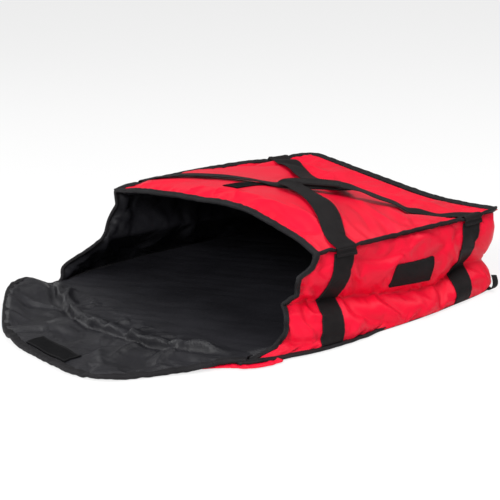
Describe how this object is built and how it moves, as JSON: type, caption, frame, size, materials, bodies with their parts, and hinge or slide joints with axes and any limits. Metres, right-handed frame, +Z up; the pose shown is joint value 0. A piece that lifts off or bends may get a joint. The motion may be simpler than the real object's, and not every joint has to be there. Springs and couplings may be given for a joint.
{
  "type": "insulated_food_bag",
  "caption": "Insulated food delivery bag in red nylon with charcoal lining, black bound edges, two webbing handles and a bottom-hinged mouth flap lying open",
  "frame": {"origin": "middle of the bottom panel's underside, on the ground", "axes": "+X toward the side wall that carries the label patch, +Y from the mouth to the back wall, +Z up"},
  "size_m": [0.5564, 0.7343, 0.1932],
  "materials": {
    "red_nylon": "satin woven nylon",
    "insulation": "soft batting, sealed between shell and lining",
    "charcoal_lining": "smooth coated lining with a soft sheen",
    "binding_tape": "ribbed grosgrain tape folded over the edge and stitched",
    "webbing": "flat woven polypropylene webbing",
    "loop_tape": "fuzzy loop side of hook and loop tape",
    "hook_tape": "hook side of hook and loop tape",
    "label_fabric": "bare sewn patch, semi-matt"
  },
  "bodies": {
    "bag": {"bottom_shell": "red_nylon", "bottom_batting": "insulation", "bottom_lining": "charcoal_lining", "wall_shell": "red_nylon", "wall_batting": "insulation", "wall_lining": "charcoal_lining", "top_shell": "red_nylon", "top_batting": "insulation", "top_lining": "charcoal_lining", "mouth_binding": "binding_tape", "top_seam_binding": "binding_tape", "bottom_seam_binding": "binding_tape", "binding_tail": "binding_tape", "front_left_strap": "webbing", "front_right_strap": "webbing", "rear_left_strap": "webbing", "rear_right_strap": "webbing", "front_left_handle_tab": "webbing", "front_right_handle_tab": "webbing", "rear_left_handle_tab": "webbing", "rear_right_handle_tab": "webbing", "loop_strip": "loop_tape", "label_patch": "label_fabric"},
    "flap_root": {"flap_root_shell": "red_nylon", "flap_root_batting": "insulation", "flap_root_lining": "charcoal_lining", "flap_left_binding": "binding_tape", "flap_right_binding": "binding_tape"},
    "flap_end": {"flap_end_shell": "red_nylon", "flap_end_batting": "insulation", "flap_end_lining": "charcoal_lining", "flap_end_binding": "binding_tape", "hook_strip": "hook_tape"},
    "left_handle_loop": {"left_handle": "webbing", "left_grip_wrap": "webbing"},
    "right_handle_loop": {"right_handle": "webbing", "right_grip_wrap": "webbing"}
  },
  "joints": [
    {"name": "flap_hinge", "type": "hinge", "parent": "bag", "child": "flap_root", "pos_m": [0, -0.2542, 0.0124], "axis": [-1, 0, 0], "range_deg": [0, 125]},
    {"name": "flap_fold", "type": "hinge", "parent": "flap_root", "child": "flap_end", "pos_m": [0, -0.335, 0.0124], "axis": [-1, 0, 0], "range_deg": [0, 70]},
    {"name": "left_handle_hinge", "type": "hinge", "parent": "bag", "child": "left_handle_loop", "pos_m": [-0.24001, 0.075, 0.15198], "axis": [-0.0542, -0.9984, 0.0151], "range_deg": [0, 160]},
    {"name": "right_handle_hinge", "type": "hinge", "parent": "bag", "child": "right_handle_loop", "pos_m": [0.24001, 0.075, 0.14077], "axis": [-0.0542, 0.9985, -0.0126], "range_deg": [0, 160]}
  ]
}
